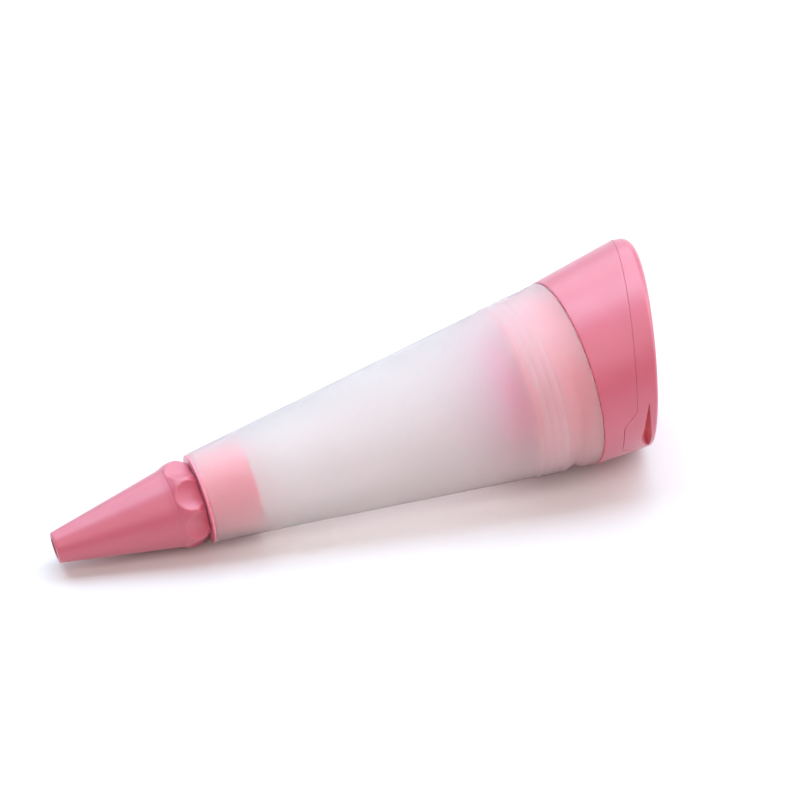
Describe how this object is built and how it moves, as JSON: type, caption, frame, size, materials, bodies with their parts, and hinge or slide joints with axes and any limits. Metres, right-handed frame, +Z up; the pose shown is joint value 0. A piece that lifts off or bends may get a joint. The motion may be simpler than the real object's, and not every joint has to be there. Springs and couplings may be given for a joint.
{
  "type": "piping bag",
  "caption": "Silicone piping bag with a screw-on nozzle and a slanted pull-off rear lid, lying on its side.",
  "frame": {"origin": "on the surface it lies on, under the middle of its box", "axes": "+X from the nozzle towards the lid, along the lying bag; +Z up"},
  "size_m": [0.1488, 0.0484, 0.0488],
  "materials": {
    "pink_plastic": "glossy moulded",
    "clear_silicone": "frosted translucent",
    "stopper_plastic": "satin moulded",
    "seal_silicone": "satin"
  },
  "bodies": {
    "bag_assembly": {"bag": "clear_silicone", "coupler": "pink_plastic", "rear_collar": "pink_plastic", "collar_seals": "seal_silicone"},
    "nozzle_seat": {"nozzle_washer": "seal_silicone"},
    "nozzle": {"nozzle": "pink_plastic"},
    "lid": {"lid": "pink_plastic", "stopper": "stopper_plastic", "stopper_ring": "seal_silicone"}
  },
  "joints": [
    {"name": "nozzle_travel", "type": "slide", "parent": "bag_assembly", "child": "nozzle_seat", "axis": [-0.9916, 0, -0.1291], "range_m": [0, 0.0071]},
    {"name": "nozzle_turn", "type": "hinge", "parent": "nozzle_seat", "child": "nozzle", "pos_m": [-0.05418, -0.00227, 0.00844], "axis": [-0.9916, 0, -0.1291], "range_deg": [0, 1260]},
    {"name": "lid_pull", "type": "slide", "parent": "bag_assembly", "child": "lid", "axis": [0.9916, 0, 0.1291], "range_m": [0, 0.04]}
  ],
  "couplings": [
    {"joint": "nozzle_travel", "follows": "nozzle_turn", "m_per_rad": 0.00031831}
  ]
}
